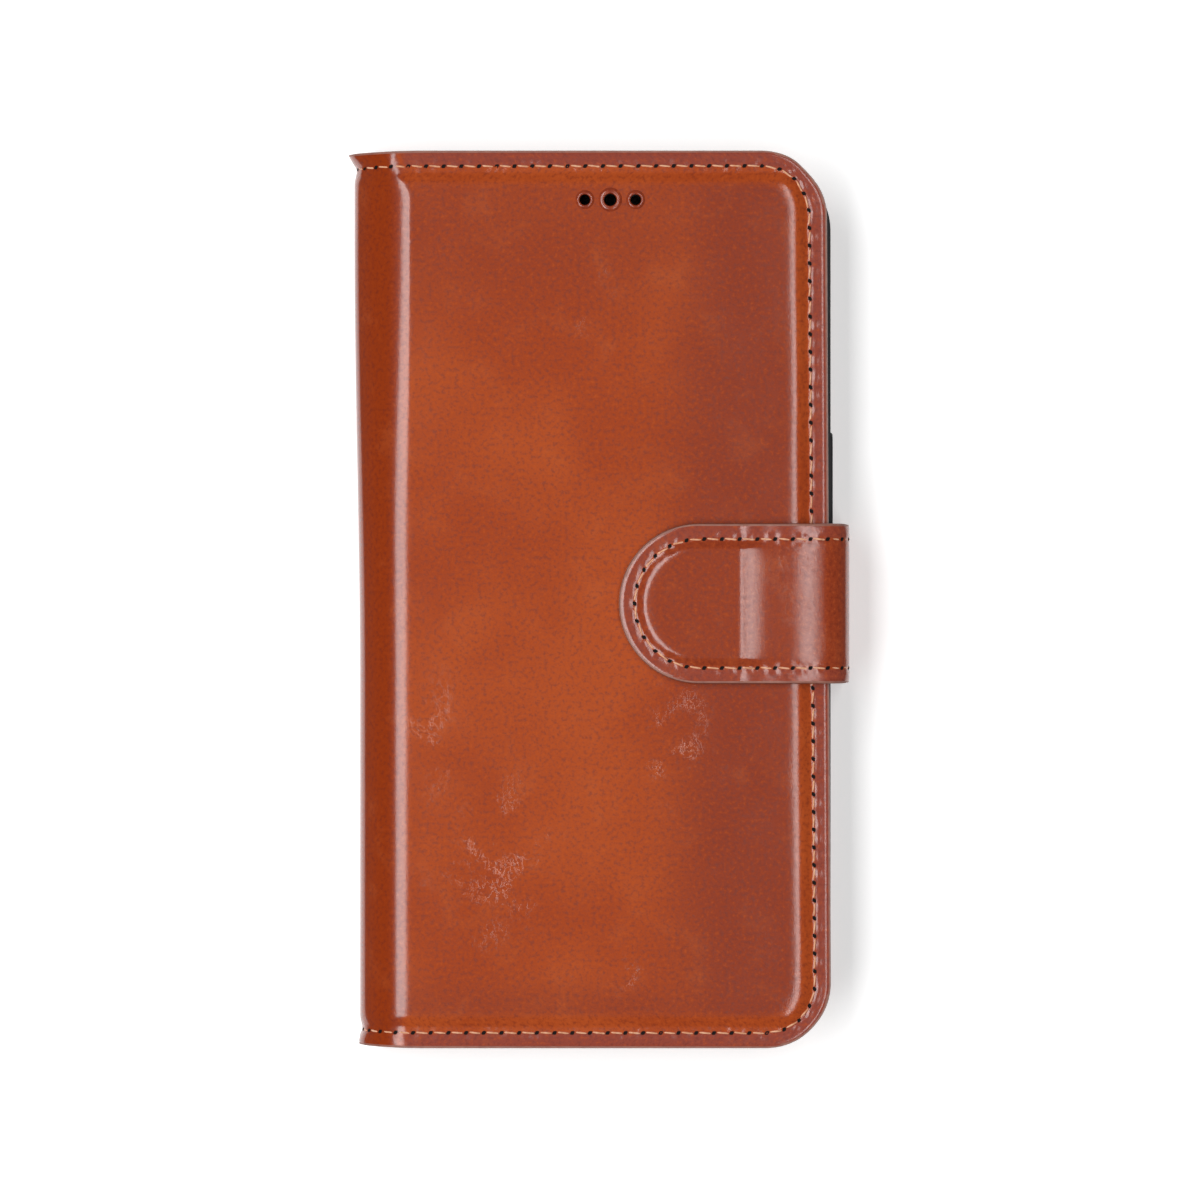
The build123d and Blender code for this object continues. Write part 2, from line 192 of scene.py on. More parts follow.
def quads(rows, columns):
    """The faces of a grid whose points are numbered row by row."""
    i, j = np.meshgrid(np.arange(rows - 1), np.arange(columns - 1), indexing="ij")
    a = (i * columns + j).ravel()
    return np.stack([a, a + columns, a + columns + 1, a + 1], axis=1)


def tube_faces(rings, sides, closed=False):
    """The faces of a tube whose points are numbered ring by ring, with its ends if it has any."""
    spans = rings if closed else rings - 1
    a, b = (part.ravel() for part in np.meshgrid(np.arange(spans), np.arange(sides), indexing="ij"))
    here, after, beside = a * sides, (a + 1) % rings * sides, (b + 1) % sides
    faces = np.stack([here + b, after + b, after + beside, here + beside], axis=1).tolist()
    if not closed:
        faces += [list(range(sides)), list(range((rings - 1) * sides, rings * sides))]
    return faces


def rounded_rect(points, centre, half, radius):
    """Each point's distance outside a rounded rectangle, and the way out of it, in plan."""
    offset = points[..., :2] - np.array(centre)
    beyond = np.abs(offset) - (np.array(half) - radius)
    corner = np.maximum(beyond, 0.0)
    in_corner = np.all(beyond > 0.0, axis=-1, keepdims=True)
    flat_way = (beyond == beyond.max(axis=-1, keepdims=True)).astype(float)
    way = np.where(in_corner, unit(corner), flat_way) * np.sign(offset)
    distance = np.linalg.norm(corner, axis=-1) + np.minimum(beyond.max(axis=-1), 0.0) - radius
    return distance, way


def creases(points):
    """How creased the leather is from use: in patches on the front, and a little on the strap."""
    x, y = points[..., 0], points[..., 1]
    patches = (  # the middle, the half widths and the strength
        ((-19.0, -45.0), (10.0, 13.0), 0.8),
        ((13.0, -25.0), (5.0, 12.0), 0.8),
        ((5.0, -65.0), (8.0, 5.0), 0.7),
        ((0.0, 49.0), (5.0, 7.0), 0.4),
        ((-29.0, -21.0), (5.0, 9.0), 0.6),
    )
    total = sum(h * bump(x, cx, wx) * bump(y, cy, wy) for (cx, cy), (wx, wy), h in patches)
    total = total * smooth(0.6 + 0.6 * waves(x, y, 9.0, 77))
    return np.maximum(total * (x < EDGE_X - 5), 0.3 * bump(x, 35.0, 8.0) * (points[..., 2] > 19.5))


def sheet_object(name, surface, depths, materials, openings=(), wrap=0.0):
    """A closed sheet between two depths under a surface, with materials for its face, its back
    and its edges. Openings are rounded rectangles cut through it, and wrap is how far the edges'
    finish comes round on to the face."""
    top = surface["points"] if depths[0] == 0 else surface["smooth"] - surface["normals"] * depths[0]
    bottom = surface["smooth"] - surface["normals"] * depths[1]
    ni, nj = top.shape[:2]
    count = ni * nj
    upper = quads(ni, nj)
    top, bottom = top.reshape(-1, 3).copy(), bottom.reshape(-1, 3).copy()
    for opening in openings:
        distance, _ = rounded_rect(top, *opening)
        upper = upper[~(distance[upper].mean(axis=1) < 0.0)]
    ends = np.stack([upper, np.roll(upper, -1, axis=1)], axis=-1).reshape(-1, 2)
    keys = ends.min(axis=1) * count + ends.max(axis=1)
    _, where, times = np.unique(keys, return_inverse=True, return_counts=True)
    rim = ends[times[where] == 1]
    for opening in openings:
        distance, way = rounded_rect(top, *opening)
        near = rim[:, 0][distance[rim[:, 0]] < RIM_REACH]
        for side in (top, bottom):
            side[near, :2] -= way[near] * distance[near, None]
    walls = np.stack([rim[:, 1], rim[:, 0], rim[:, 0] + count, rim[:, 1] + count], axis=1)
    faces = np.concatenate([upper, upper[:, ::-1] + count, walls])
    indices = np.repeat([0, 1, 2], [len(upper), len(upper), len(walls)])
    border = surface["distance"].ravel()[upper].mean(axis=1) < wrap
    indices[: len(upper)][border] = 2
    verts = np.concatenate([top, bottom])
    flat = np.tile(surface["flat"].reshape(-1, 3), (2, 1))
    shade_and_tone = np.tile(surface["shade_and_tone"].ravel(), 2)
    crease = np.tile(creases(surface["smooth"]).ravel(), 2)
    return make_object(name, verts, faces.tolist(), materials, indices, flat, shade_and_tone, crease)


def sweep(name, path, normal, outward, section, material, closed=False):
    """A closed section of (outward, normal) offsets, carried along a path."""
    points = np.stack([path + outward * o + normal * h for o, h in section], axis=1)
    faces = tube_faces(*points.shape[:2], closed)
    verts = points.reshape(-1, 3)
    return make_object(name, verts, faces, [material], flat=verts, shade_and_tone=np.ones(len(verts)))


# ---- seams ----
def resample(path, pitch, phase=0.0):
    """Points at even steps along a path, counted both ways from its middle, and their tangents."""
    length = length_along(path)
    middle = length[-1] / 2
    low, high = math.ceil(-middle / pitch - phase + 0.1), math.floor(middle / pitch - phase - 0.1)
    at = middle + (np.arange(low, high + 1) + phase) * pitch

    def place(along):
        return np.stack([np.interp(along, length, path[:, k]) for k in range(3)], axis=-1)

    return place(at), unit(place(at + 0.2) - place(at - 0.2))


def normals_near(points, surface):
    """The surface's normals nearest to some points."""
    smooth, normals = surface["smooth"].reshape(-1, 3), surface["normals"].reshape(-1, 3)
    return np.array([normals[np.argmin(((smooth - p) ** 2).sum(axis=1))] for p in points])


def stitches(name, points, tangents, normals, lift=0.0):
    """Thread between the needle holes at some points: each stitch rises from one hole, lies
    slightly aslant on the surface, and dips into the next."""
    rng = np.random.default_rng(len(points))
    rings, sides = 11, 10
    share = np.linspace(0.0, 1.0, rings)
    height = -0.62 + 0.70 * np.sin(share * math.pi) ** 0.35 + lift
    girth = THREAD_R * (0.72 + 0.28 * np.sin(share * math.pi) ** 0.5)
    turn = np.arange(sides) * 2 * math.pi / sides
    tube = tube_faces(rings, sides)
    verts, faces = [], []
    for k in range(len(points) - 1):
        a, b = points[k] + tangents[k] * 0.16, points[k + 1] - tangents[k + 1] * 0.16
        along = unit(b - a)
        up = unit(normals[k] + normals[k + 1])
        side = np.cross(up, along)
        tilt = STITCH_LEAN * rng.uniform(0.7, 1.3) * (1.0 - 2.0 * share)
        level = height + rng.uniform(-0.02, 0.02)
        core = a + share[:, None] * (b - a) + side * tilt[:, None] + up * level[:, None]
        ply = 1.0 + 0.10 * np.cos(2.0 * turn[None, :] + share[:, None] * 14.0 + k)
        round_ = girth[:, None] * ply
        ring = side * np.cos(turn)[:, None] + up * np.sin(turn)[:, None] * 0.85
        first = k * rings * sides
        verts.append((core[:, None, :] + ring[None] * round_[..., None]).reshape(-1, 3))
        faces += [[first + corner for corner in face] for face in tube]
    return make_object(name, np.concatenate(verts), faces, [THREAD])


def needle_holes(name, points, tangents, normals):
    """The slanted diamond holes that a needle leaves, as small pits painted near black for the shade in
    them.
    """
    lift, turn, sides = 0.07, 0.6, 8
    corner = np.linspace(0.0, 2.0 * math.pi, sides + 1)[:-1]
    shape = np.array([0.47, 0.34]) * np.stack([np.cos(corner), np.sin(corner)], axis=-1)
    shape[1::2] *= 0.86
    side = np.cross(normals, tangents)
    u = tangents * math.cos(turn) + side * math.sin(turn)
    v = side * math.cos(turn) - tangents * math.sin(turn)
    verts, faces = [], []
    for k, point in enumerate(points):
        first = k * (2 * sides + 1)
        rim = point + u[k] * shape[:, :1] + v[k] * shape[:, 1:] + normals[k] * lift
        low = point + (rim - point) * 0.8 - normals[k] * 0.5
        verts += [rim, low, (point + normals[k] * 0.4 * lift)[None]]
        for i in range(sides):
            j = (i + 1) % sides
            faces.append([first + i, first + j, first + sides + j, first + sides + i])
            faces.append([first + i, first + 2 * sides, first + j])
        faces.append([first + sides + i for i in range(sides)])
    return make_object(name, np.concatenate(verts), faces, [HOLE_SHADE])


def sew(names, points, tangents, normals, behind):
    """The thread and needle holes of a seam on a surface, the holes as pits of painted shade, and the
    bobbin thread some way behind it.
    """
    face = points - normals * SEAM_DEPTH
    thread = stitches(names[0], face, tangents, normals)
    holes = needle_holes(names[1], face, tangents, normals)
    return thread, holes, stitches(names[2], points - normals * behind, tangents, -normals, BOBBIN_LIFT)


# ---- the folio's outline and relief ----
def end_point(share, half, radius, x_end):
    """A point on an outline's rounded end, from the middle of one corner (-1) to the other (1)."""
    run = np.abs(share) * (half - radius + radius * math.pi / 4)
    turn = np.maximum(run - (half - radius), 0.0) / radius
    x = x_end - radius + radius * np.cos(turn)
    y = np.minimum(run, half - radius) + radius * np.sin(turn)
    return np.stack([x, np.sign(share) * y], axis=-1)


def side_point(share, x_start, half, radius, x_end):
    """A point on an outline's upper side, from its start (0) to the middle of its corner (1)."""
    straight = x_end - radius - x_start
    run = share * (straight + radius * math.pi / 4)
    turn = np.maximum(run - straight, 0.0) / radius
    x = x_start + np.minimum(run, straight) + radius * np.sin(turn)
    y = half - radius + radius * np.cos(turn)
    return np.stack([x, y], axis=-1)


def plan_grid(u, v, x_start, half, radius, x_end):
    """A grid over a plate with two rounded corners, whose lines follow its edges. u runs from 0 to
    1 along it, v from -1 to 1 across it, and x_start gives the start's x for each v."""
    left = np.stack([x_start, v * half], axis=-1)[None]
    right = end_point(v, half, radius, x_end)[None]
    top = side_point(u, x_start[-1], half, radius, x_end)[:, None]
    low = side_point(u, x_start[0], half, radius, x_end)[:, None] * np.array([1.0, -1.0])
    a, b = u[:, None, None], ((v + 1.0) / 2.0)[None, :, None]
    near = (1 - a) * ((1 - b) * left[:, :1] + b * left[:, -1:])
    far = a * ((1 - b) * right[:, :1] + b * right[:, -1:])
    return (1 - a) * left + a * right + (1 - b) * low + b * top - near - far


def edge_distance(x, y, half, radius, x_end):
    """The distance inside a plate's three free edges, and the run along its seam from the middle
    of its end, the same both ways."""
    across = np.abs(y)
    past_x, past_y = x - (x_end - radius), across - (half - radius)
    in_corner = (past_x > 0) & (past_y > 0)
    distance = np.where(in_corner, radius - np.hypot(past_x, past_y), np.minimum(x_end - x, half - across))
    seam_r = radius - STITCH_INSET
    turn = np.arctan2(past_y, past_x)
    on_side = half - radius + seam_r * math.pi / 2 - past_x
    run = np.where(past_x < past_y, on_side, across)
    return distance, np.where(in_corner, half - radius + seam_r * turn, run)


def seam_relief(distance, run):
    """How the leather is drawn down along a seam and puckers between its needle holes."""
    cycle = np.cos(2.0 * math.pi * run / STITCH_PITCH)
    uneven = 0.6 + 0.8 * waves(run, distance, 2.6, 21)
    groove = -SEAM_DEPTH * bump(distance, STITCH_INSET, 0.45)
    pucker = 0.04 * bump(distance, STITCH_INSET - 0.7, 0.45)
    pucker = pucker + 0.045 * bump(distance, STITCH_INSET + 0.7, 0.45)
    crumbs = 0.032 * waves(run, distance, 1.2, 31) * bump(distance, STITCH_INSET, 0.95)
    roll = -0.14 * (1.0 - smooth(distance / 0.8)) ** 1.5
    return groove - pucker * cycle * uneven + crumbs + roll


def seamed_surface(smooth_points, normals, distance, run, flat_x, shade_and_tone):
    """A surface with its seam drawn in, and what a sheet under it needs to know."""
    points = smooth_points + normals * seam_relief(distance, run)[..., None]
    flat = np.dstack([flat_x, smooth_points[..., 1], np.zeros_like(flat_x)])
    return {"points": points, "smooth": smooth_points, "normals": normals,
            "distance": distance, "flat": flat, "shade_and_tone": shade_and_tone}


def panel_rise(x, y):
    """The padded panel's height above the margin: a flank, steepest near its foot, that is gentler
    at the two ends."""
    radius, stretch = 5.6, 1.3
    right, top, bottom = PANEL_FOOT
    dx = np.maximum(x - (right - radius), 0.0)
    half = (top - bottom) / 2 - radius * stretch
    dy = np.maximum(np.abs(y - (top + bottom) / 2) - half, 0.0) / stretch
    slopes = [(0.0, 0.0), (0.45, 27.0), (1.1, 27.0), (1.9, 11.0), (2.8, 4.5), (4.2, 0.0)]
    return from_slopes(radius - np.hypot(dx, dy), slopes)


def ridge_x(y):
    """The ridge runs straight along the panel and turns towards the spine past its ends."""
    return RIDGE_X - np.where(y > 0, 2.6, 0.6) * smooth((np.abs(y) - (HALF_L - 8.0)) / 6.0)


def spine_x(y):
    """The spine bows in by up to a millimetre, low on the cover, and flares out at its two ends."""
    bow = 0.95 * smooth((60.0 - y) / 75.0)
    end = HALF_L - np.abs(y)
    pinch = 0.3 * bump(end, STITCH_INSET + 0.4, 1.1)
    flare = (0.75 + 0.42 * np.sign(y)) * np.clip((STITCH_INSET - 0.2 - end) / 2.3, 0.0, 1.0) ** 1.3
    return SPINE_X - 0.2 + bow + pinch - flare


def shaped(points):
    """A cover's points with its small irregularities: the free edge leans out towards the bottom,
    and the ends draw in towards the spine."""
    x, y = points[..., 0], points[..., 1]
    lean = -0.36 * y / HALF_L * smooth((x + 10.0) / 40.0)
    lean = lean - 0.5 * bump(x, EDGE_X - 3.0, 2.2) * (0.6 + 0.4 * y / HALF_L)
    draw = 0.003 * smooth((RIDGE_X + 2.5 - x) / 11.5)
    moved = points.copy()
    moved[..., 0], moved[..., 1] = x + lean, y * (1.0 - draw)
    return moved


def plate_height(x, y, front):
    """How far a cover's flat part is from the middle of the spine, up or down, without its seam."""
    if not front:
        return np.full(np.broadcast(x, y).shape, MIDDLE_Z)
    distance, _ = edge_distance(x, y, HALF_L, CORNER_R, EDGE_X)
    soft = 0.05 * waves(x, y, 50.0, 5) + 0.012 * waves(x, y, 9.0, 6)
    return MARGIN_RISE + panel_rise(x, y) + soft * smooth((distance - 1.5) / 8.0)


def spine_curve(q, y, front):
    """The outer surface from the middle of the spine (q = 0) to the ridge (q = 1)."""
    ridge, outer = ridge_x(y), spine_x(y)
    height = plate_height(ridge, y, front)
    rise = np.clip((height * q - (height - 8.6)) / 8.6, 0.0, 1.0)
    turn = np.arcsin(rise)
    sharp = 1.0 + 0.4 * smooth((y - 5.0) / 60.0)  # the ridge is sharper towards the top
    x = outer + (ridge - outer) * (1.0 - np.maximum(np.cos(turn), 0.0) ** sharp)
    return np.stack(np.broadcast_arrays(x, y, height * q), axis=-1)


def spine_shares(coarse):
    """Values of q from 0 to just under 1, closer together where the spine curves most."""
    straight = np.linspace(0.0, 0.12, 3)[:-1]
    turn = np.linspace(0.0, math.pi / 2, int(12.6 / coarse) + 1)[:-1]
    return np.concatenate([straight, 1.0 - 0.88 * (1.0 - np.sin(turn))])


def cover_surface(front, fine, coarse, padded=True):
    """The outer surface of half the folio, from the middle of the spine to the free edge."""
    zone = 6.0  # the width of the finer grid along the edges
    v = steps(2 * HALF_L, fine, zone, coarse) * 2.0 - 1.0
    u = steps(EDGE_X - RIDGE_X, fine, zone, coarse, both=False)
    if front and not padded:  # finer round the earpiece holes
        v = refined(v, (HOLE_Y - 1.8) / HALF_L, (HOLE_Y + 2.2) / HALF_L, 14)
        middle = (PHONE_X - RIDGE_X) / (EDGE_X - RIDGE_X)
        u = refined(u, middle - 0.085, middle + 0.085, 41)
    y = v * HALF_L
    spine = spine_curve(spine_shares(coarse)[:, None], y[None, :], front)
    plan = plan_grid(u, v, ridge_x(y), HALF_L, CORNER_R, EDGE_X)
    height = plate_height(plan[..., 0], plan[..., 1], front)
    if front and not padded:
        height = np.full(height.shape, MARGIN_RISE)
        spine[..., 2] *= (MARGIN_RISE) / np.maximum(spine[-1, :, 2], 1.0)
    smooth_points = np.concatenate([spine, np.dstack([plan, height])])
    from_spine = length_along(smooth_points)
    distance, run = edge_distance(plan[..., 0], plan[..., 1], HALF_L, CORNER_R, EDGE_X)
    rows = len(spine)
    spine_run = run[:1] + (from_spine[rows] - from_spine[:rows])
    smooth_points = shaped(smooth_points)
    distance = np.concatenate([np.broadcast_to(HALF_L - np.abs(y), spine_run.shape), distance])
    run = np.concatenate([spine_run, run])
    side = 1.0 if front else -1.0
    smooth_points[..., 2] = MIDDLE_Z + side * smooth_points[..., 2]
    normals = grid_normals(smooth_points) * side
    normals[..., 1] = 0.0
    normals = unit(normals)
    x, y = smooth_points[..., 0], smooth_points[..., 1]
    # Painted shade: darker to the right, towards the top and at the bottom end, less near the edges.
    shade_and_tone = np.maximum(smooth((x - 1.0) / 25.0), 0.5 * smooth((y - 32.0) / 30.0))
    shade_and_tone = np.maximum(shade_and_tone, 0.6 * smooth((-60.0 - y) / 10.0))
    # -1 outside the seam is the margin's own purplish tone.
    shade_and_tone = shade_and_tone * (1.0 - smooth((6.5 - distance) / 2.0)) - smooth((2.7 - distance) / 0.5)
    # 2 on the spine is deeper painted shade, where it turns away from the lights.
    on_spine = 1.0 - smooth((x - SPINE_X - 5.0) / 4.5)
    shade_and_tone = shade_and_tone * (1.0 - on_spine) + 2.0 * on_spine
    return seamed_surface(smooth_points, normals, distance, run, side * from_spine, shade_and_tone)


def cover_seam(front):
    """The seam's path on the outer surface, from the middle of the spine round the free edge."""
    q = spine_shares(0.4)[:, None]
    radius = CORNER_R - STITCH_INSET
    turn = np.linspace(0.0, math.pi / 2, 24)
    x = EDGE_X - CORNER_R + radius * np.sin(turn)
    y = HALF_L - CORNER_R + radius * np.cos(turn)
    height = np.full(len(turn), MARGIN_RISE if front else MIDDLE_Z)
    halves = []
    for side in (1.0, -1.0):
        start = spine_curve(q, np.full_like(q, side * (HALF_L - STITCH_INSET)), front).reshape(-1, 3)
        halves.append(np.concatenate([start, np.column_stack([x, side * y, height])]))
    path = np.concatenate([halves[0], halves[1][::-1]])
    path[:, 2] = MIDDLE_Z + (path[:, 2] if front else -path[:, 2])
    return shaped(path)


def rim_path(surface, depth):
    """The free edge at a depth under a surface: its path, its normals and the way off the edge."""
    points = surface["smooth"] - surface["normals"] * depth

    def along_rim(grid, inset=0):
        last = -1 - inset
        return np.concatenate([grid[:, last], grid[last, -2::-1], grid[-2::-1, inset]])

    path, normal = along_rim(points), along_rim(surface["normals"])
    outward = unit(np.cross(unit(np.gradient(path, axis=0)), normal))
    inwards = ((along_rim(points, 5) - path) * outward).sum(axis=-1, keepdims=True)
    return path, normal, outward * -np.sign(inwards)


def edge_band(name, surface, thickness):
    """Painted edges: a slightly convex band round a sheet's free edge."""
    bulge, roll = 0.16, 0.3
    h = thickness / 2
    path, normal, outward = rim_path(surface, h)
    section = [(-0.35, -h + 0.02), (-0.04, -h + 0.03), (0.6 * bulge, -0.6 * h), (bulge, 0.0),
               (0.8 * bulge, 0.45 * h), (-0.02, h - roll - 0.02), (-0.35, h - roll)]
    return sweep(name, path, normal, outward, section, EDGE)


# ---- materials ----
class Shader:
    """A material's node tree, with short ways to add nodes and join them."""

    def __init__(self, name, **principled):
        self.material = bpy.data.materials.new(name)
        self.material.use_nodes = True
        self.nodes, self.links = self.material.node_tree.nodes, self.material.node_tree.links
        self.surface = self.nodes["Principled BSDF"]
        for key, value in principled.items():
            self.surface.inputs[key.replace("_", " ")].default_value = value

    def add(self, kind, settings=None, **inputs):
        node = self.nodes.new("ShaderNode" + kind)
        for key, value in (settings or {}).items():
            setattr(node, key, value)
        for key, value in inputs.items():
            socket = node.inputs[int(key[1:])] if key[1:].isdigit() else node.inputs[key.replace("_", " ")]
            self.join(value, socket)
        return node.outputs[0]

    def join(self, value, socket):
        if isinstance(value, bpy.types.NodeSocket):
            self.links.new(value, socket)
        else:
            socket.default_value = value

    def attribute(self, name, output="Vector"):
        node = self.nodes.new("ShaderNodeAttribute")
        node.attribute_name = name
        return node.outputs[output]

    def object_mm(self):
        node = self.nodes.new("ShaderNodeTexCoord")
        return self.add("VectorMath", {"operation": "SCALE"}, i0=node.outputs["Object"], Scale=1000.0)

    def noise(self, vector, scale, detail=4.0, roughness=0.55, distortion=0.0):
        return self.add("TexNoise", Vector=vector, Scale=scale, Detail=detail,
                        Roughness=roughness, Distortion=distortion)

    def math(self, operation, a, b=0.0):
        return self.add("Math", {"operation": operation}, i0=a, i1=b)

    def band(self, value, low, high, to_low=0.0, to_high=1.0):
        return self.add("MapRange", {"interpolation_type": "SMOOTHSTEP"},
                        i0=value, i1=low, i2=high, i3=to_low, i4=to_high)

    def mix(self, share, a, b):
        node = self.nodes.new("ShaderNodeMix")
        node.data_type = "RGBA"
        self.join(share, node.inputs["Factor"])
        self.join(a, node.inputs["A"])
        self.join(b, node.inputs["B"])
        return node.outputs["Result"]

    def two_tone(self, noise, one, other):
        """Two colours, mixed by the middle of a noise's range."""
        return self.mix(self.band(noise, 0.3, 0.7), one, other)

    def bump(self, height, distance, strength):
        """A normal from a height, whose full range is a distance in metres."""
        node = self.nodes.new("ShaderNodeBump")
        node.inputs["Strength"].default_value = strength
        node.inputs["Distance"].default_value = distance
        self.links.new(height, node.inputs["Height"])
        return node.outputs["Normal"]

    def finish(self, **sockets):
        for key, value in sockets.items():
            self.join(value, self.surface.inputs[key.replace("_", " ")])
        return self.material


def rgb(r, g, b):
    """A colour given as sRGB bytes, as Blender's linear values."""
    def linear(c):
        c /= 255.0
        return c / 12.92 if c <= 0.04045 else ((c + 0.055) / 1.055) ** 2.4
    return (linear(r), linear(g), linear(b), 1.0)


def tan_leather(name):
    """Glossy pull-up leather: tan with a fine dark speckle, and pale creases where it has been bent.
    Its shade value is 1 for painted shade where the covers and strap fall away from the lights, 2 for
    deeper painted shade on the spine and -1 for the margin's own purplish tone outside the seam."""
    s = Shader(name, Specular_IOR_Level=0.6)
    at, shade_and_tone, crease = s.attribute("flat_mm"), s.attribute("shade_and_tone", "Fac"), s.attribute("crease", "Fac")
    clouds = s.noise(at, 0.03, 3.0, 0.5)
    streaks = s.noise(at, 0.12, 4.0, 0.6, 0.6)
    speckle = s.noise(at, 1.35, 4.0, 0.7)
    pores = s.noise(at, 3.6, 2.0, 0.5)
    stretched = s.add("VectorMath", {"operation": "MULTIPLY"}, i0=at, i1=(1.0, 0.7, 1.0))
    wrinkles = s.noise(stretched, 0.8, 4.0, 0.62, 0.8)
    lines = s.band(s.math("ABSOLUTE", s.math("SUBTRACT", wrinkles, 0.5)), 0.03, 0.0)
    lines = s.math("MULTIPLY", lines, s.band(streaks, 0.42, 0.6))
    # fewer pale speckles under the spine's painted shade
    pale = s.math("MULTIPLY", s.band(speckle, 0.48, 0.3, 0.0, 0.45), s.band(shade_and_tone, 1.0, 2.0, 1.0, 0.25))
    crack = s.math("MULTIPLY", lines, crease)
    colour = s.mix(s.band(clouds, 0.35, 0.65), rgb(160, 62, 20), rgb(174, 74, 27))
    layers = (  # how much of each further colour there is
        # painted shade: darker where the cover turns from the lights
        (s.band(shade_and_tone, 0.0, 1.0), rgb(142, 55, 28)),
        (s.band(shade_and_tone, 0.0, -1.0), rgb(144, 63, 46)),
        # painted shade: the spine darkest, as it faces away from the lights
        (s.band(shade_and_tone, 1.0, 2.0), rgb(140, 49, 5)),
        (s.band(streaks, 0.52, 0.8, 0.0, 0.25), rgb(190, 96, 50)),
        (s.band(speckle, 0.48, 0.66, 0.0, 0.5), rgb(104, 34, 20)),
        (pale, rgb(192, 88, 38)),
        (s.math("MULTIPLY", crack, 0.4), rgb(206, 122, 82)),
    )
    for share, further in layers:
        colour = s.mix(share, colour, further)
    height = s.math("ADD", s.math("MULTIPLY", pores, 0.45), s.math("MULTIPLY", speckle, 0.65))
    height = s.math("SUBTRACT", height, s.math("MULTIPLY", crack, 0.5))
    normal = s.bump(height, 0.00003, 0.6)
    rough = s.band(speckle, 0.3, 0.8, 0.13, 0.22)
    return s.finish(Base_Color=colour, Roughness=rough, Normal=normal)


def edge_paint(name):
    """Burnished edges, coated in a purplish brown."""
    s = Shader(name, Roughness=0.45, Specular_IOR_Level=0.5)
    at = s.object_mm()
    colour = s.two_tone(s.noise(at, 0.8), rgb(134, 82, 68), rgb(150, 98, 82))
    return s.finish(Base_Color=colour, Normal=s.bump(s.noise(at, 3.0, 3.0), 0.00004, 0.7))


def thread_material(name):
    """Waxed thread of a pale, slightly uneven colour."""
    s = Shader(name, Roughness=0.55, Specular_IOR_Level=0.4, Sheen_Weight=0.2)
    tone = s.noise(s.object_mm(), 1.4, 3.0)
    return s.finish(Base_Color=s.two_tone(tone, rgb(206, 140, 100), rgb(232, 178, 142)))


def hole_shade_material(name):
    """Painted shade: the near-black inside of a hole."""
    s = Shader(name, Roughness=0.8, Specular_IOR_Level=0.2)
    tone = s.noise(s.object_mm(), 4.0, 2.0)
    return s.finish(Base_Color=s.mix(tone, rgb(8, 4, 4), rgb(22, 12, 10)))


def lining_material(name):
    """Matte split leather with a short nap."""
    body, dark = rgb(150, 92, 58), rgb(118, 70, 44)
    s = Shader(name, Roughness=0.85, Specular_IOR_Level=0.25, Sheen_Weight=0.35, Sheen_Roughness=0.6)
    at = s.attribute("flat_mm")
    cloud, nap = s.noise(at, 0.06), s.noise(at, 4.0, 4.0, 0.7)
    colour = s.mix(s.band(cloud, 0.3, 0.7, 0.35, 1.0), dark, body)
    colour = s.mix(s.band(nap, 0.45, 0.75, 0.0, 0.45), colour, dark)
    return s.finish(Base_Color=colour, Normal=s.bump(nap, 0.00009, 0.8))


def pocket_leather(name):
    """The pockets' smooth leather, a little more matte than the outside."""
    s = Shader(name, Roughness=0.45, Specular_IOR_Level=0.5)
    at = s.object_mm()
    cloud, grain = s.noise(at, 0.05), s.noise(at, 2.4, 3.0, 0.6)
    colour = s.two_tone(cloud, rgb(150, 64, 32), rgb(162, 74, 38))
    colour = s.mix(s.band(grain, 0.48, 0.7, 0.0, 0.5), colour, rgb(116, 46, 26))
    return s.finish(Base_Color=colour, Normal=s.bump(grain, 0.00006, 0.7))


def shell_plastic(name):
    """Matte black soft plastic with a fine moulded grain."""
    s = Shader(name, Roughness=0.5, Specular_IOR_Level=0.4)
    at = s.object_mm()
    grain, cloud = s.noise(at, 5.0, 2.0), s.noise(at, 0.2, 2.0)
    colour = s.mix(cloud, rgb(30, 30, 33), rgb(40, 40, 43))
    rough = s.band(grain, 0.3, 0.7, 0.42, 0.6)
    return s.finish(Base_Color=colour, Roughness=rough, Normal=s.bump(grain, 0.00003, 0.5))


def plain_sheet(name, one, other, roughness, metallic=0.0):
    """A hidden layer's material: two tones of one colour, with a little texture."""
    s = Shader(name, Roughness=roughness, Metallic=metallic)
    tone = s.noise(s.object_mm(), 0.8)
    colour = s.mix(s.band(tone, 0.35, 0.65), rgb(*one), rgb(*other))
    return s.finish(Base_Color=colour, Normal=s.bump(tone, 0.00005, 0.4))


LEATHER = tan_leather("tan_leather")
EDGE = edge_paint("edge_paint")
THREAD = thread_material("waxed_thread")
HOLE_SHADE = hole_shade_material("needle_hole")
LINING = lining_material("lining")
POCKET = pocket_leather("pocket_leather")
SHELL = shell_plastic("shell_plastic")
FLESH = plain_sheet("flesh_side", (140, 96, 66), (166, 118, 84), 0.9)
BONDED = plain_sheet("bonded_leather", (120, 84, 58), (150, 110, 80), 0.9)
FOAM = plain_sheet("foam", (216, 210, 196), (232, 228, 216), 0.95)
STEEL = plain_sheet("steel", (150, 152, 156), (172, 174, 178), 0.35, 1.0)
NICKEL = plain_sheet("nickel", (186, 184, 178), (204, 202, 196), 0.2, 1.0)
TAPE = plain_sheet("tape", (196, 196, 190), (214, 214, 208), 0.6)
SKIN_FINISH = [LEATHER, FLESH, EDGE]
LINING_FINISH = [FLESH, LINING, EDGE]


def bend(obj, fold):
    """Bakes a piece's placement into its mesh."""
    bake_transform(obj)


def settle(obj, body, node=None):
    """Puts a piece on one body, in place of a CAD node if one is given."""
    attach(obj, body)
    if node:
        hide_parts(node)


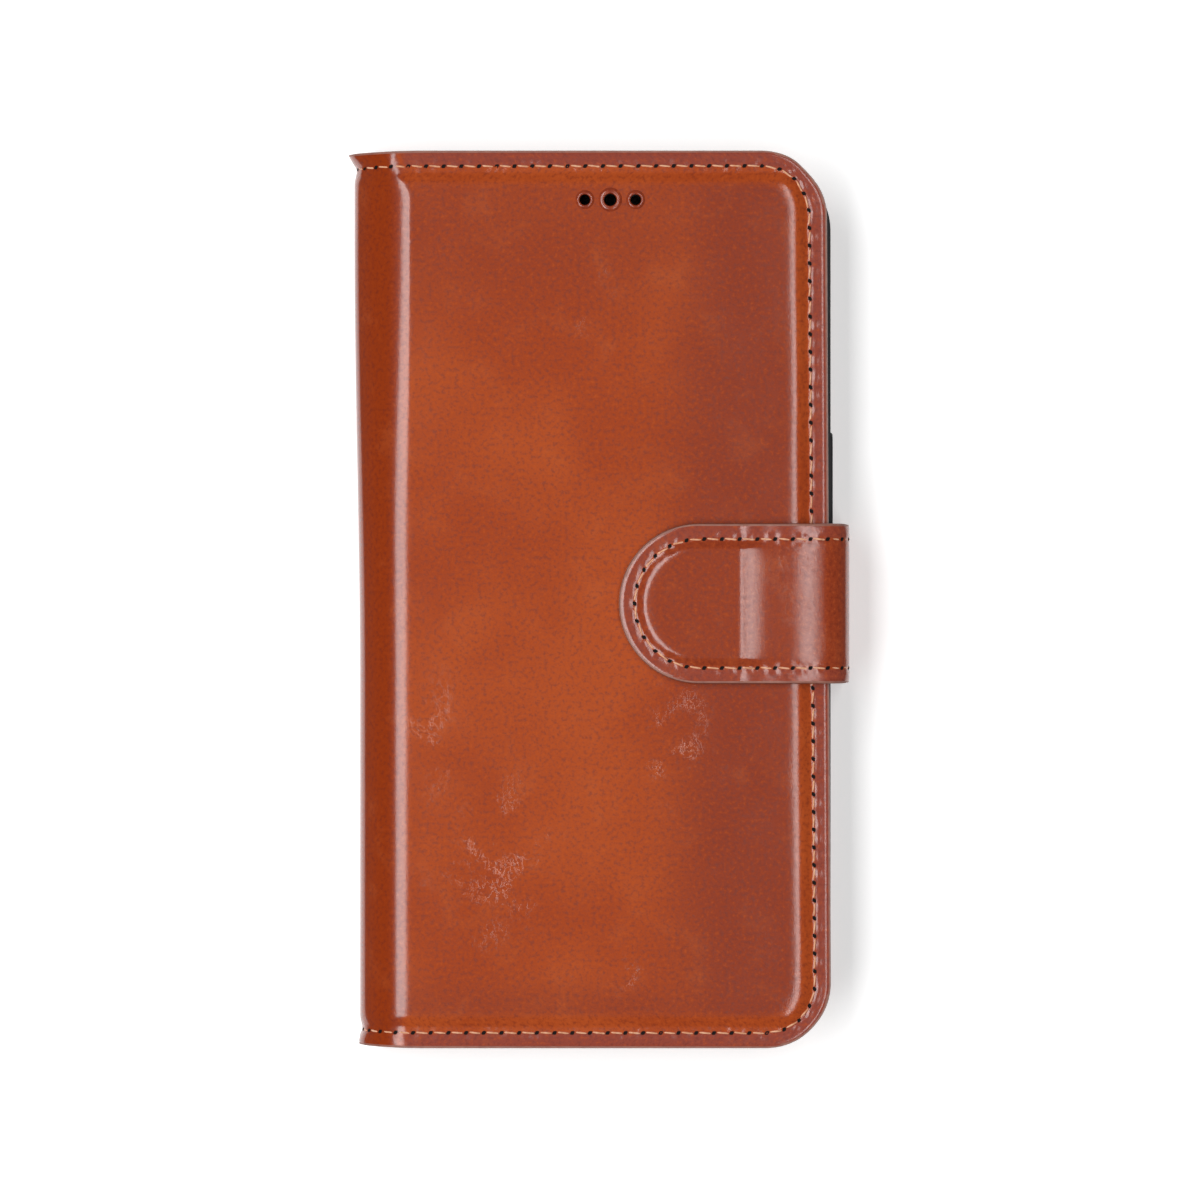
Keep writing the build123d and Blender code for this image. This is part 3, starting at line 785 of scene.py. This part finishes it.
# ---- the folio ----
WINDOW = ((19.6, 52.0), (15.0, 17.5), 9.0)
HOLE_PLACES = [(PHONE_X + dx, HOLE_Y, r) for dx, r in HOLES]


def cover_openings(front, extra):
    """The openings in a cover's layers: the earpiece holes, wider by extra, or the camera window."""
    if not front:
        return [WINDOW]
    return [((x, y), (r + extra, r + extra), r + extra) for x, y, r in HOLE_PLACES]


def build_cover(front):
    """One cover's leather, reinforcement, lining, painted edge and thread, with its half of the spine."""
    side = "front" if front else "back"
    fine = cover_surface(front, 0.3, 0.6)
    plain = cover_surface(front, 0.75, 1.2, padded=False)
    middle = (LEATHER_T, LEATHER_T + REINFORCEMENT_T)
    inner = (middle[1], COVER_T)
    outer_holes, inner_holes = cover_openings(front, 0.4), cover_openings(front, 0.15)
    core_holes = list(inner_holes)
    if not front:
        centre, half = anchor_plan()
        core_holes.append((centre, (half[0] + 0.1, half[1] + 0.1), 1.0))
    outer = (0, LEATHER_T)
    leather = sheet_object(side + "_leather_skin", fine, outer, SKIN_FINISH, outer_holes, EDGE_WRAP)
    core = sheet_object(side + "_bonded_core", plain, middle, [BONDED, BONDED, EDGE], core_holes)
    lining = sheet_object(side + "_split_lining", plain, inner, LINING_FINISH, inner_holes)
    paint = edge_band(side + "_painted_edge", plain, COVER_T)
    points, tangents = resample(cover_seam(front), STITCH_PITCH)
    normals = normals_near(points, fine)
    behind = COVER_T + (pocket_layers(points)[:, None] if front else 0.0)
    names = [side + part for part in ("_seam_thread", "_needle_holes", "_bobbin_thread")]
    thread, needle, inside = sew(names, points, tangents, normals, behind)
    for obj in (leather, core, lining, paint, thread, needle, inside):
        bend(obj, side)
    for obj, layer, label in ((leather, "leather", "tan_leather"), (core, "reinforcement", "reinforcement"),
                              (lining, "lining", "lining"), (thread, "thread", "thread")):
        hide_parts(f"{side}_{layer}", f"spine_{layer}")
    if front:
        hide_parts("pocket_thread")


# ---- the pockets inside the front cover ----
POCKETS = ("long_pocket", "card_pocket_1", "card_pocket_2", "card_pocket_3")
POCKET_T = 0.5
POCKET_LEFT = -32.0
INNER_Z = MARGIN_Z - COVER_T
MOUTHS = (58.0, 24.0, 8.0, -8.0)
THUMB_R = 9.0


def pocket_layers(points):
    """How thick the pockets are behind each point of the front cover's seam."""
    layers = sum((points[:, 1] < mouth).astype(float) for mouth in MOUTHS)
    return np.where(points[:, 0] > POCKET_LEFT, layers * POCKET_T, 0.0)


def build_pocket(name, index, mouth):
    """One pocket panel: flat leather with a thumb notch, a creased line and a painted mouth."""
    straight = np.linspace(POCKET_LEFT, EDGE_X - CORNER_R, 61)
    turn = np.linspace(0.0, math.pi / 2, 16)[1:]
    x = np.concatenate([straight, EDGE_X - CORNER_R + CORNER_R * np.sin(turn)])
    x = np.sort(np.concatenate([x, PHONE_X + np.linspace(-8.2, 8.2, 41)]))
    past = np.maximum(x - (EDGE_X - CORNER_R), 0.0)
    low = -HALF_L + CORNER_R - np.sqrt(np.maximum(CORNER_R**2 - past**2, 0.0))
    centre = mouth + THUMB_R * 0.55
    dip = centre - np.sqrt(np.maximum(THUMB_R**2 - (x - PHONE_X) ** 2, 0.0))
    high = np.minimum(mouth, dip)
    v = steps(100.0, 0.25, 3.0, 1.6)
    y = low[:, None] + (high - low)[:, None] * v[None, :]
    x = np.broadcast_to(x[:, None], y.shape)
    z = np.full(y.shape, INNER_Z - index * POCKET_T)
    below_mouth = high[:, None] - y
    relief = -0.07 * bump(below_mouth, 1.6, 0.3) - 0.12 * (1 - smooth(below_mouth / 0.5))
    relief = relief + 0.015 * waves(x, y, 30.0, 40 + index)
    outer = shaped(np.dstack([x, y, z - POCKET_T - relief]))
    surface = {"points": outer, "smooth": shaped(np.dstack([x, y, z - POCKET_T])), "distance": below_mouth,
               "normals": np.broadcast_to([0.0, 0.0, -1.0], outer.shape), "shade_and_tone": np.full(z.shape, 0.2),
               "flat": np.dstack([x, y, np.full(z.shape, 40.0 * index)])}
    obj = sheet_object(name + "_panel", surface, (0, POCKET_T), [POCKET, FLESH, EDGE], wrap=0.2)
    settle(obj, "front_cover", name)


# ---- the strap ----
STRAP_LEATHER_T = 1.2
STRAP_T = 2.0
FLAT_STRAP_X = 200.0  # where the strap's pattern starts in flat coordinates, clear of the covers'
PAD_END_X = STRAP_TIP_X + 20.4
TURN_X = 37.5  # where the top of the strap starts to turn down
TURN_R = 5.33
TURN_Z = 15.33


def strap_top(x):
    """The height of the strap's middle over its top, from its bend to its tip."""
    slopes = [(-TURN_X, 10.0), (-31.6, 0.6), (-28.4, 0.6), (-PAD_END_X - 0.15, 8.8),
              (-PAD_END_X + 0.1, 0.0), (-STRAP_TIP_X, 0.0)]
    return TURN_Z + TURN_R * math.sin(math.radians(81)) + from_slopes(-np.asarray(x), slopes)


def strap_pad(x, distance):
    """How far the strap's border lies below its middle, where the pad ends."""
    slopes = [(2.7, 0.0), (3.0, 24.0), (3.9, 24.0), (4.4, 4.5), (5.2, 3.0), (7.0, 0.0)]
    drop = from_slopes(7.0, slopes) - from_slopes(distance, slopes)
    return drop * (1.0 - smooth((x - PAD_END_X) / 8.5))


def strap_columns():
    return steps(2 * STRAP_HALF_W, 0.3, 4.5, 0.55) * 2.0 - 1.0


def strap_surface(rows, plan=None, padded=True):
    """A strap surface from points of its side profile, carried across its width, and the plan of
    its tongue where there is one. The lining stays flat under the tongue's pad."""
    v = strap_columns()
    across = np.broadcast_to(v * STRAP_HALF_W, (len(rows), len(v)))
    x = np.broadcast_to(rows[:, :1], across.shape)
    z = np.broadcast_to(rows[:, 1:], across.shape)
    distance = STRAP_HALF_W - np.abs(across)
    length = length_along(rows)
    run = np.broadcast_to(length[:, None], across.shape)
    if plan is not None:
        flat_x = -plan[..., 0]
        flat_y = plan[..., 1]
        inside, seam_run = edge_distance(-flat_x, flat_y, STRAP_HALF_W, STRAP_HALF_W, -STRAP_TIP_X)
        top = strap_top(flat_x) - strap_pad(flat_x, inside if padded else np.zeros_like(inside))
        x = np.concatenate([x, flat_x])
        across = np.concatenate([across, flat_y])
        z = np.concatenate([z, top])
        distance = np.concatenate([distance, inside])
        run = np.concatenate([seam_run[0].max() + length[-1] - run, seam_run])
    smooth_points = np.dstack([x, across + STRAP_Y, z])
    normals = grid_normals(smooth_points)
    middle = smooth_points.mean(axis=(0, 1)) - np.array([30.0, 0.0, 9.0])
    normals = normals * np.sign((normals * middle).sum(axis=-1).mean())
    # Painted shade over the strap, and the margin's own tone outside its seam.
    shade_and_tone = 0.7 - 1.5 * smooth((2.7 - distance) / 0.5)
    flat_x = FLAT_STRAP_X + length_along(smooth_points)
    return seamed_surface(smooth_points, normals, distance, run, flat_x, shade_and_tone)


def arc(centre, radius, first, last, count):
    turn = np.radians(np.linspace(first, last, count))
    return np.stack([centre[0] + radius * np.cos(turn), centre[1] + radius * np.sin(turn)], axis=-1)


def strap_side_rows():
    """The strap's outer face from the back cover round its lower bend to the middle of its side."""
    low = np.linspace([37.6, 0.5], [38.5, 0.5], 3)[:-1]
    bend = arc((38.5, 4.0), 3.5, -90, 0, 14)[:-1]
    return np.concatenate([low, bend, np.linspace([STRAP_X, 4.0], [STRAP_X, MIDDLE_Z], 12)])


def strap_flap_rows():
    """The strap's outer face from the middle of its side round its upper bend."""
    side = np.linspace([STRAP_X, MIDDLE_Z], [STRAP_X, TURN_Z], 12)[:-1]
    return np.concatenate([side, arc((STRAP_X - TURN_R, TURN_Z), TURN_R, 0, 81, 18)[:-1]])


def strap_seam(rows, tongue):
    """The strap's seam: along both edges of a stretch, or right round the tongue."""
    half = STRAP_HALF_W - STITCH_INSET
    lead = np.column_stack([rows[:, 0], np.full(len(rows), half), rows[:, 1]])
    if not tongue:
        return [lead + [0, STRAP_Y, 0], lead * [1, -1, 1] + [0, STRAP_Y, 0]]
    end = STRAP_TIP_X + STRAP_HALF_W
    x = np.linspace(TURN_X, end, 60)
    side = np.column_stack([x, np.full(60, half), strap_top(x) - strap_pad(x, STITCH_INSET)])
    turn = np.linspace(0.0, math.pi, 80)
    x = end - half * np.sin(turn)
    tip = np.column_stack([x, half * np.cos(turn), strap_top(x) - strap_pad(x, STITCH_INSET)])
    path = np.concatenate([lead, side[:-1], tip, (side * [1, -1, 1])[-2::-1], (lead * [1, -1, 1])[::-1]])
    return [path + [0, STRAP_Y, 0]]


def strap_thread(name, paths, surface):
    """The thread and needle holes of a stretch of the strap."""
    for i, path in enumerate(paths):
        points, tangents = resample(path, STITCH_PITCH, 0.0 if len(paths) == 1 else 0.5)
        names = [f"{name}_{part}_{i + 1}" for part in ("thread", "needle_holes", "bobbin_thread")]
        pieces = sew(names, points, tangents, normals_near(points, surface), STRAP_T)
        for obj in pieces:
            bend(obj, name)
        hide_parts(name + "_thread")


def strap_edge(name, surface, tongue):
    """The strap's painted edges."""
    path, normal, outward = rim_path(surface, STRAP_T / 2)
    columns = surface["smooth"].shape[0]
    spans = [slice(None)] if tongue else [slice(0, columns), slice(-columns, None)]
    h = STRAP_T / 2
    section = [(-0.3, -h + 0.02), (-0.04, -h + 0.03), (0.1, -0.6 * h), (0.16, 0.0),
               (0.1, 0.4 * h), (-0.02, h - 0.32), (-0.3, h - 0.3)]
    for i, span in enumerate(spans):
        band = sweep(f"{name}_painted_edge_{i + 1}", path[span], normal[span], outward[span], section, EDGE)
        bend(band, name)


def build_strap():
    """The strap's side and its tongue over the front cover: leather, lining, edges and thread."""
    v = strap_columns()
    reach = TURN_X - STRAP_TIP_X
    u = steps(reach, 0.3, 5.0, 0.42, both=False)
    start = np.full(len(v), -TURN_X)
    plan = plan_grid(u, v, start, STRAP_HALF_W, STRAP_HALF_W, -STRAP_TIP_X)
    for name, tongue in (("strap_side", False), ("strap_flap", True)):
        rows = strap_flap_rows() if tongue else strap_side_rows()
        surface = strap_surface(rows, plan if tongue else None)
        inner = strap_surface(rows, plan if tongue else None, padded=False)
        skin = sheet_object(name + "_skin", surface, (0, STRAP_LEATHER_T), SKIN_FINISH, wrap=EDGE_WRAP)
        back = sheet_object(name + "_split_lining", inner, (STRAP_LEATHER_T, STRAP_T), LINING_FINISH)
        for obj, layer, label in ((skin, "leather", "tan_leather"), (back, "lining", "lining")):
            bend(obj, name)
            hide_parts(f"{name}_{layer}")
        strap_edge(name, surface, tongue)
        strap_thread(name, strap_seam(rows, tongue), surface)


def slab(name, plan, under, over, distance, materials, openings=()):
    """A closed sheet between two heights over a plan."""
    top = np.dstack([plan, over])
    surface = {"points": top, "smooth": np.dstack([plan, under]), "distance": distance, "flat": top,
               "normals": np.broadcast_to([0.0, 0.0, 1.0], top.shape), "shade_and_tone": np.zeros(over.shape)}
    return sheet_object(name, surface, (0, 0), materials, openings)


def pad_grid(start, end, half, radius, pitch):
    """A grid over a pad between two places in x. pitch is as in steps()."""
    v = steps(2 * half, *pitch) * 2.0 - 1.0
    return plan_grid(steps(end - start, *pitch), v, np.full(len(v), start), half, radius, end)


def build_foam():
    """The foam under the front cover's panel. It thins towards its edges, and is hollow over the
    clasp plate."""
    low, high = node_box("front_foam")
    middle, half = (low[1] + high[1]) / 2, (high[1] - low[1]) / 2
    plan = pad_grid(low[0], high[0], half, 3.0, (0.5, 3.0, 1.0)) + np.array([0.0, middle])
    x, y = plan[..., 0], plan[..., 1]
    inside = np.minimum(np.minimum(x - low[0], high[0] - x), half - np.abs(y - middle))
    over = low[2] + (panel_rise(x, y) - 0.06) * (0.5 + 0.5 * smooth(inside / 1.5))
    plate_low, plate_high = node_box("clasp_plate")
    past_x = np.maximum(plate_low[0] - x, x - plate_high[0])
    past = np.maximum(past_x, np.maximum(plate_low[1] - y, y - plate_high[1]))
    under = low[2] + (plate_high[2] - plate_low[2] + 0.03) * (1.0 - smooth((past - 0.2) / 1.2))
    foam = slab("front_foam_pad", plan, under, over, inside, [FOAM] * 3, cover_openings(True, 0.4))
    settle(foam, "front_cover", "front_foam")


def build_filler():
    """The felted filler in the strap's tongue, round the magnet."""
    low, high = node_box("strap_filler")
    magnet_low, magnet_high = node_box("strap_magnet")
    half = (high[1] - low[1]) / 2
    radius = half - 0.01
    plan = pad_grid(-high[0], -low[0], half, radius, (0.3, 1.5, 0.6))
    inside, _ = edge_distance(plan[..., 0], plan[..., 1], half, radius, -low[0])
    plan = plan * np.array([-1.0, 1.0]) + np.array([0.0, STRAP_Y])
    x = plan[..., 0]
    inside = np.minimum(inside, high[0] - x)
    under = strap_top(x) - strap_pad(x, 0.0) - STRAP_LEATHER_T + 0.03
    over = strap_top(x) - STRAP_LEATHER_T - 0.05
    over = under + (over - under) * (0.45 + 0.55 * smooth(inside / 1.2))
    seat = ((magnet_low + magnet_high)[:2] / 2, (magnet_high - magnet_low)[:2] / 2 + 0.15, 0.5)
    filler = slab("strap_filler_pad", plan, under, over, inside, [FOAM] * 3, [seat])
    settle(filler, "strap_flap", "strap_filler")


def anchor_plan():
    """The outline of the strap's root between the back cover's layers: its centre and half sizes."""
    low, _ = node_box("strap_anchor")
    far = EDGE_X - 0.9
    return ((low[0] + far) / 2, STRAP_Y), ((far - low[0]) / 2, STRAP_HALF_W)


def build_anchor():
    """The strap's root, skived thin at its end, and the square of stitches that holds it."""
    (x, y), (half_x, half_y) = anchor_plan()
    v = steps(2 * half_y, 0.5, 2.0, 1.0) * 2.0 - 1.0
    plan = plan_grid(steps(2 * half_x, 0.5, 2.0, 0.8), v, np.full(len(v), -half_x), half_y, 1.0, half_x)
    plan = plan * np.array([-1.0, 1.0]) + np.array([x, y])
    from_end = plan[..., 0] - (x - half_x)
    under = np.full(from_end.shape, LEATHER_T)
    over = under + REINFORCEMENT_T * (0.35 + 0.6 * smooth(from_end / 5.0))
    root = slab("strap_root", plan, under, over, from_end, [FLESH, LEATHER, FLESH])
    settle(root, "back_cover", "strap_anchor")
    low, high = node_box("strap_anchor_thread")
    inset = 0.25
    near, left = EDGE_X - 2 * STITCH_INSET, low[0] + inset
    bottom, top = low[1] + inset, high[1] - inset
    plan = np.array([(near, bottom), (left, bottom), (left, top), (near, top)])
    path = np.column_stack([plan, np.full(len(plan), 0.05)])
    points, tangents = resample(path, STITCH_PITCH)
    down = np.broadcast_to([0.0, 0.0, -1.0], points.shape)
    thread = stitches("strap_root_thread", points, tangents, down)
    holes = needle_holes("strap_root_needle_holes", points, tangents, down)
    settle(thread, "back_cover", "strap_anchor_thread")
    settle(holes, "back_cover")


# ---- the earpiece holes ----
def build_eyelets():
    """Burnished leather lips round the three earpiece holes, and their walls, painted near black as shade.
    """
    turn = np.linspace(0.0, 2.0 * math.pi, 49)[:-1]
    outward = np.column_stack([np.cos(turn), np.sin(turn), np.zeros(len(turn))])
    normal = np.broadcast_to([0.0, 0.0, 1.0], outward.shape)
    for i, (x, y, r) in enumerate(HOLE_PLACES):
        centre = np.array([x, y, PANEL_Z])
        wide = 0.68 + 0.25 * (i == 1)
        path = centre + outward * r
        lip = [(0.0, -1.0), (0.0, -0.12), (0.08, 0.03), (0.24, 0.1), (0.5 * wide, 0.08),
               (wide, -0.08), (wide + 0.12, -0.3), (wide, -1.0)]
        ring = sweep(f"earpiece_lip_{i + 1}", path, normal, outward, lip, LEATHER, closed=True)
        wall = [(0.0, -3.7), (0.0, -0.4), (0.22, -0.5), (0.22, -3.7)]
        tube = sweep(f"earpiece_wall_{i + 1}", path, normal, outward, wall, HOLE_SHADE, closed=True)
        settle(ring, "front_cover")
        settle(tube, "front_cover")


build_cover(front=True)
build_cover(front=False)
for index, name in enumerate(POCKETS):
    build_pocket(name, index, MOUTHS[index])
build_strap()
build_foam()
build_filler()
build_anchor()
build_eyelets()

# ---- the CAD nodes that stay ----
FINISHES = {
    "phone_shell": SHELL,
    "side_button": SHELL,
    "volume_up_button": SHELL,
    "volume_down_button": SHELL,
    "shell_adhesive": TAPE,
    "clasp_plate": STEEL,
    "strap_magnet": NICKEL,
}
for node, material in FINISHES.items():
    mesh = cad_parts[node].data
    mesh.materials.clear()
    mesh.materials.append(material)

# ---- floor, light and camera, in metres ----
floor_shader = Shader("paper", Roughness=0.9, Specular_IOR_Level=0.1, Emission_Strength=0.35)
floor_material = floor_shader.finish(Base_Color=rgb(250, 250, 250), Emission_Color=rgb(255, 255, 255))


def floor_part(name, corners, faces, mirrored):
    """A part of the floor, seen in reflections or not: away from the case they show the dark studio."""
    mesh = bpy.data.meshes.new(name)
    mesh.from_pydata([(x, y, 0.0) for x, y in corners], [], faces)
    mesh.materials.append(floor_material)
    obj = bpy.data.objects.new(name, mesh)
    bpy.context.scene.collection.objects.link(obj)
    obj.visible_glossy = mirrored


NEAR = [(-0.058, -0.092), (0.07, -0.092), (0.07, 0.092), (-0.058, 0.092)]
FAR = [(-3.0, -3.0), (3.0, -3.0), (3.0, 3.0), (-3.0, 3.0)]
floor_part("floor_near", NEAR, [(0, 1, 2, 3)], True)
floor_part("floor_far", NEAR + FAR, [(i, (i + 1) % 4, 4 + (i + 1) % 4, 4 + i) for i in range(4)], False)


def softbox(name, position, size, radiance):
    """A rectangular light aimed at the origin. radiance is what a mirror would show of it."""
    light = bpy.data.lights.new(name, "AREA")
    light.shape = "RECTANGLE"
    light.size, light.size_y = size
    light.energy = radiance * math.pi * size[0] * size[1]
    obj = bpy.data.objects.new(name, light)
    z = unit(np.array(position))
    x = unit(np.cross([0.0, 1.0, 0.0], z))
    place = np.eye(4)
    place[:3] = np.column_stack([x, np.cross(z, x), z, position])
    obj.matrix_world = Matrix(place.tolist())
    bpy.context.scene.collection.objects.link(obj)


softbox("left_softbox", (-0.48, 0.0, 1.15), (0.5, 1.5), 6.1)
softbox("right_softbox", (0.31, 0.0, 1.2), (0.19, 1.3), 6.0)

world = bpy.data.worlds.new("studio")
world.use_nodes = True
background = world.node_tree.nodes["Background"]
background.inputs["Color"].default_value = (1.0, 1.0, 1.0, 1.0)
background.inputs["Strength"].default_value = 0.1
bpy.context.scene.world = world

camera = bpy.data.cameras.new("camera")
camera.sensor_width = 36.0
camera.lens = 212.5
camera_object = bpy.data.objects.new("camera", camera)
camera_object.location = (-0.00034, -0.0001, 1.2185)
bpy.context.scene.collection.objects.link(camera_object)
bpy.context.scene.camera = camera_object
bpy.context.scene.view_settings.view_transform = "Standard"
